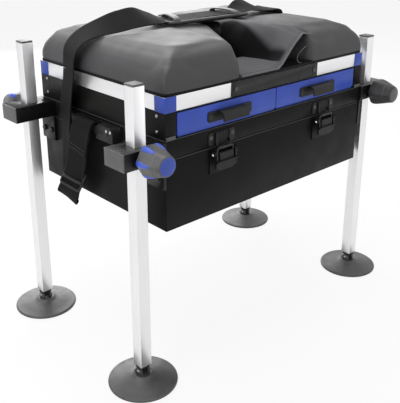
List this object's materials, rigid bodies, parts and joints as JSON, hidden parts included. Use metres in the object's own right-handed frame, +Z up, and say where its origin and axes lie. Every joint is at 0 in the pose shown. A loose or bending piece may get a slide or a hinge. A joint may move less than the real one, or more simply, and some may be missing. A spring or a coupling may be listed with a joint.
{
  "type": "fishing seat box",
  "caption": "Padded fishing seat box with hinged lid, shallow tray, front drawers, deep base box, latches, carry strap and clamped telescopic legs on mud feet",
  "frame": {"origin": "on the ground, in the middle of the footprint", "axes": "+X along the long side, -Y towards the drawers at the front, +Z up"},
  "size_m": [0.645, 0.4306, 0.5414],
  "materials": {
    "black_coat": "satin powder coat",
    "black_plastic": "fine moulded grain",
    "grey_plastic": "fine moulded grain",
    "foot_rubber": "matte moulded",
    "blue_paint": "anodised blue, satin",
    "bright_aluminium": "brushed, bright anodised",
    "steel": "zinc plated",
    "vinyl": "soft vinyl cover with fine grain",
    "webbing": "woven polypropylene",
    "plywood": "bare plywood"
  },
  "bodies": {
    "base": {"lower_box": "black_coat", "arm_front_left": "black_plastic", "arm_front_right": "black_plastic", "arm_back_left": "black_plastic", "arm_back_right": "black_plastic", "main_hinge_lower": "steel", "latch_base_left": "black_plastic", "latch_base_right": "black_plastic"},
    "cabinet": {"rim_tray": "black_coat", "cabinet_shell": "black_coat", "main_hinge_upper": "steel", "latch_keeper_left": "black_plastic", "latch_keeper_right": "black_plastic", "strap_bracket_left": "black_plastic", "strap_bracket_right": "black_plastic", "strap_hanging_left": "webbing", "strap_hanging_right": "webbing", "tray_frame": "bright_aluminium", "tray_corner_front_left": "blue_paint", "tray_corner_front_right": "blue_paint", "tray_corner_back_left": "blue_paint", "tray_corner_back_right": "blue_paint", "tray_front_plate": "black_plastic", "lid_hinge_lower": "steel"},
    "lid": {"lid_hinge_upper": "steel", "seat_board": "plywood", "cushion_left": "vinyl", "cushion_right": "vinyl", "centre_flap": "vinyl", "strap_over_seat": "webbing", "shoulder_pad": "black_plastic"},
    "left_drawer": {"drawer_left": "blue_paint", "drawer_pull_left": "black_plastic"},
    "right_drawer": {"drawer_right": "blue_paint", "drawer_pull_right": "black_plastic"},
    "left_lever": {"latch_lever_left": "black_plastic"},
    "left_claw": {"latch_claw_left": "black_plastic"},
    "right_lever": {"latch_lever_right": "black_plastic"},
    "right_claw": {"latch_claw_right": "black_plastic"},
    "front_left_leg": {"leg_front_left": "bright_aluminium", "leg_cap_front_left": "black_plastic"},
    "front_left_knob": {"clamp_knob_front_left": "grey_plastic"},
    "front_left_stem": {"foot_stem_front_left": "black_plastic"},
    "front_left_foot": {"foot_front_left": "foot_rubber"},
    "front_right_leg": {"leg_front_right": "bright_aluminium", "leg_cap_front_right": "black_plastic"},
    "front_right_knob": {"clamp_knob_front_right": "grey_plastic"},
    "front_right_stem": {"foot_stem_front_right": "black_plastic"},
    "front_right_foot": {"foot_front_right": "foot_rubber"},
    "back_left_leg": {"leg_back_left": "bright_aluminium", "leg_cap_back_left": "black_plastic"},
    "back_left_knob": {"clamp_knob_back_left": "grey_plastic"},
    "back_left_stem": {"foot_stem_back_left": "black_plastic"},
    "back_left_foot": {"foot_back_left": "foot_rubber"},
    "back_right_leg": {"leg_back_right": "bright_aluminium", "leg_cap_back_right": "black_plastic"},
    "back_right_knob": {"clamp_knob_back_right": "grey_plastic"},
    "back_right_stem": {"foot_stem_back_right": "black_plastic"},
    "back_right_foot": {"foot_back_right": "foot_rubber"}
  },
  "joints": [
    {"name": "cabinet_hinge", "type": "hinge", "parent": "base", "child": "cabinet", "pos_m": [0, 0.169, 0.36155], "axis": [-1, 0, 0], "range_deg": [0, 90]},
    {"name": "lid_hinge", "type": "hinge", "parent": "cabinet", "child": "lid", "pos_m": [0, 0.169, 0.4534], "axis": [-1, 0, 0], "range_deg": [0, 90]},
    {"name": "drawer_left_slide", "type": "slide", "parent": "cabinet", "child": "left_drawer", "axis": [0, -1, 0], "range_m": [0, 0.22]},
    {"name": "drawer_right_slide", "type": "slide", "parent": "cabinet", "child": "right_drawer", "axis": [0, -1, 0], "range_m": [0, 0.22]},
    {"name": "latch_left_lever", "type": "hinge", "parent": "base", "child": "left_lever", "pos_m": [-0.122, -0.1733, 0.3523], "axis": [-1, 0, 0], "range_deg": [0, 110]},
    {"name": "latch_left_claw", "type": "hinge", "parent": "left_lever", "child": "left_claw", "pos_m": [-0.122, -0.1733, 0.3443], "axis": [-1, 0, 0], "range_deg": [-88.5, 0]},
    {"name": "latch_right_lever", "type": "hinge", "parent": "base", "child": "right_lever", "pos_m": [0.122, -0.1733, 0.3523], "axis": [-1, 0, 0], "range_deg": [0, 110]},
    {"name": "latch_right_claw", "type": "hinge", "parent": "right_lever", "child": "right_claw", "pos_m": [0.122, -0.1733, 0.3443], "axis": [-1, 0, 0], "range_deg": [-88.5, 0]},
    {"name": "leg_front_left_slide", "type": "slide", "parent": "base", "child": "front_left_leg", "axis": [0, 0, 1], "range_m": [-0.075, 0.22]},
    {"name": "leg_front_right_slide", "type": "slide", "parent": "base", "child": "front_right_leg", "axis": [0, 0, 1], "range_m": [-0.075, 0.22]},
    {"name": "leg_back_left_slide", "type": "slide", "parent": "base", "child": "back_left_leg", "axis": [0, 0, 1], "range_m": [-0.075, 0.22]},
    {"name": "leg_back_right_slide", "type": "slide", "parent": "base", "child": "back_right_leg", "axis": [0, 0, 1], "range_m": [-0.075, 0.22]},
    {"name": "knob_front_left_turn", "type": "hinge", "parent": "base", "child": "front_left_knob", "pos_m": [-0.268, -0.1693, 0.3772], "axis": [0, -1, 0], "range_deg": [0, 720]},
    {"name": "knob_front_right_turn", "type": "hinge", "parent": "base", "child": "front_right_knob", "pos_m": [0.268, -0.1693, 0.3772], "axis": [0, -1, 0], "range_deg": [0, 720]},
    {"name": "knob_back_left_turn", "type": "hinge", "parent": "base", "child": "back_left_knob", "pos_m": [-0.268, 0.1693, 0.3772], "axis": [0, 1, 0], "range_deg": [0, 720]},
    {"name": "knob_back_right_turn", "type": "hinge", "parent": "base", "child": "back_right_knob", "pos_m": [0.268, 0.1693, 0.3772], "axis": [0, 1, 0], "range_deg": [0, 720]},
    {"name": "stem_front_left_swivel", "type": "hinge", "parent": "front_left_leg", "child": "front_left_stem", "pos_m": [-0.268, -0.14665, 0.0286], "axis": [0, 0, 1], "continuous": true},
    {"name": "stem_front_right_swivel", "type": "hinge", "parent": "front_right_leg", "child": "front_right_stem", "pos_m": [0.268, -0.14665, 0.0286], "axis": [0, 0, 1], "continuous": true},
    {"name": "stem_back_left_swivel", "type": "hinge", "parent": "back_left_leg", "child": "back_left_stem", "pos_m": [-0.268, 0.14665, 0.0286], "axis": [0, 0, 1], "continuous": true},
    {"name": "stem_back_right_swivel", "type": "hinge", "parent": "back_right_leg", "child": "back_right_stem", "pos_m": [0.268, 0.14665, 0.0286], "axis": [0, 0, 1], "continuous": true},
    {"name": "foot_front_left_tilt", "type": "hinge", "parent": "front_left_stem", "child": "front_left_foot", "pos_m": [-0.268, -0.14665, 0.02], "axis": [1, 0, 0], "range_deg": [-20, 20]},
    {"name": "foot_front_right_tilt", "type": "hinge", "parent": "front_right_stem", "child": "front_right_foot", "pos_m": [0.268, -0.14665, 0.02], "axis": [1, 0, 0], "range_deg": [-20, 20]},
    {"name": "foot_back_left_tilt", "type": "hinge", "parent": "back_left_stem", "child": "back_left_foot", "pos_m": [-0.268, 0.14665, 0.02], "axis": [1, 0, 0], "range_deg": [-20, 20]},
    {"name": "foot_back_right_tilt", "type": "hinge", "parent": "back_right_stem", "child": "back_right_foot", "pos_m": [0.268, 0.14665, 0.02], "axis": [1, 0, 0], "range_deg": [-20, 20]}
  ],
  "couplings": [
    {"joint": "latch_left_claw", "follows": "latch_left_lever", "ratio": -0.8},
    {"joint": "latch_right_claw", "follows": "latch_right_lever", "ratio": -0.8}
  ]
}
